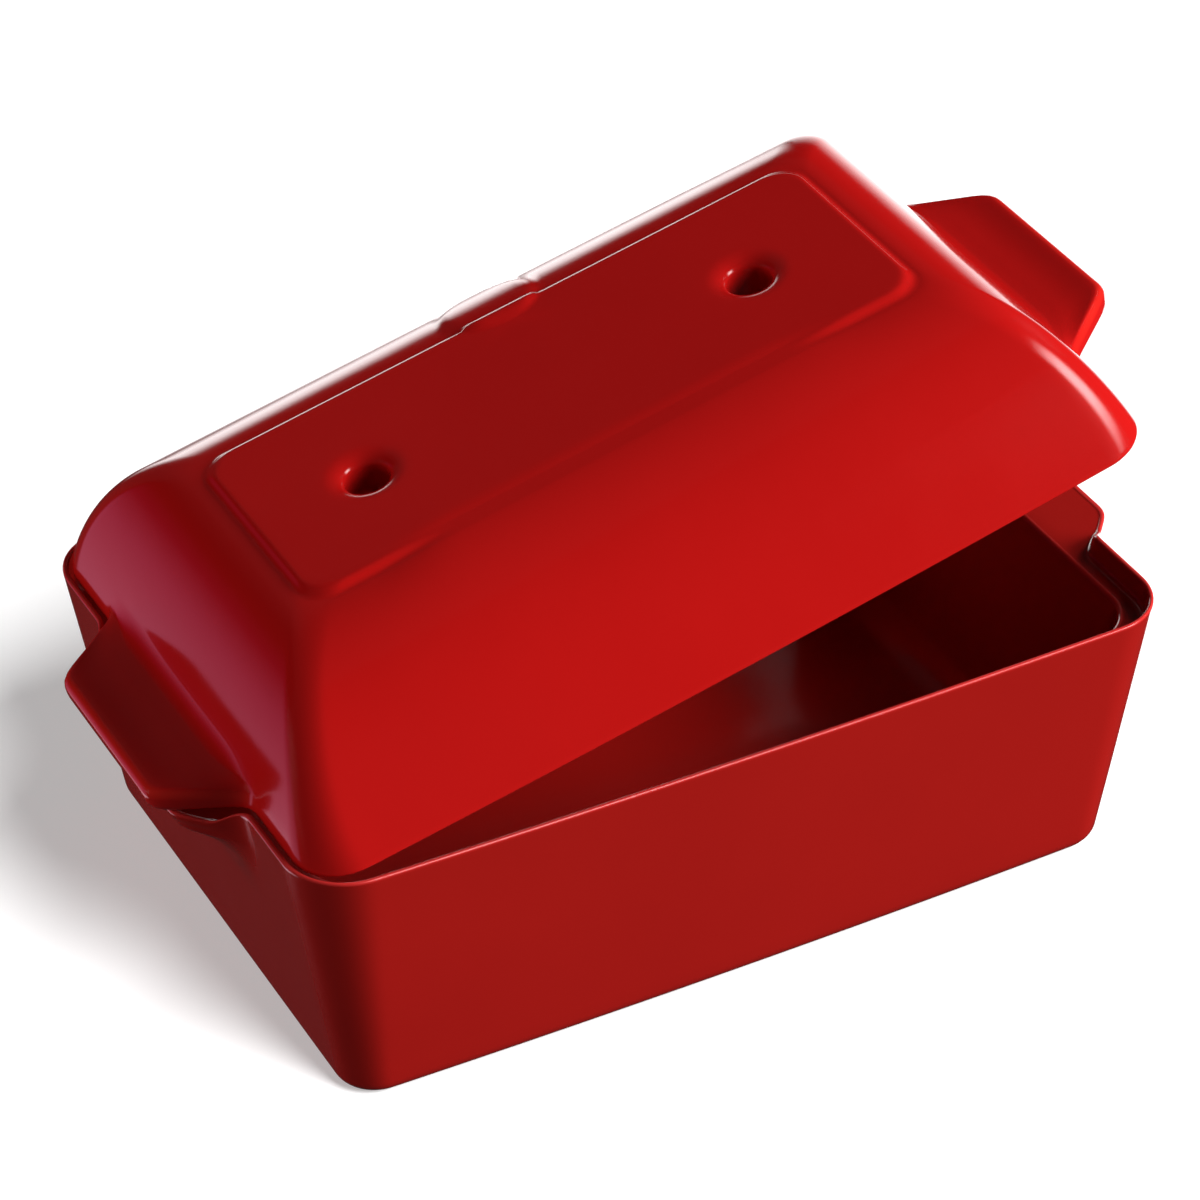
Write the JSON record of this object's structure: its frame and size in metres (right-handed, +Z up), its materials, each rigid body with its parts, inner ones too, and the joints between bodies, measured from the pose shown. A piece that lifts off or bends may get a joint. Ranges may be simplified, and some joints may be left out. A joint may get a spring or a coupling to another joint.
{
  "type": "covered loaf baker",
  "caption": "Glazed ceramic loaf baker: a deep pan with tab handles and a domed lid with steam vents, tipped open on its end handle.",
  "frame": {"origin": "middle of the flat foot under the pan", "axes": "+X along the length, towards the end where the lid is raised; +Y towards the back; +Z up"},
  "size_m": [0.2667, 0.1642, 0.1592],
  "materials": {
    "base_glaze": "glossy deep red glaze",
    "lid_glaze": "glossy deep red glaze"
  },
  "bodies": {
    "pan": {"base_pan": "base_glaze"},
    "lid": {"lid": "lid_glaze"}
  },
  "joints": [
    {"name": "lid_tilt", "type": "hinge", "parent": "pan", "child": "lid", "pos_m": [-0.1341, 0, 0.073], "axis": [0, -1, 0], "range_deg": [-13.1, 57]}
  ]
}
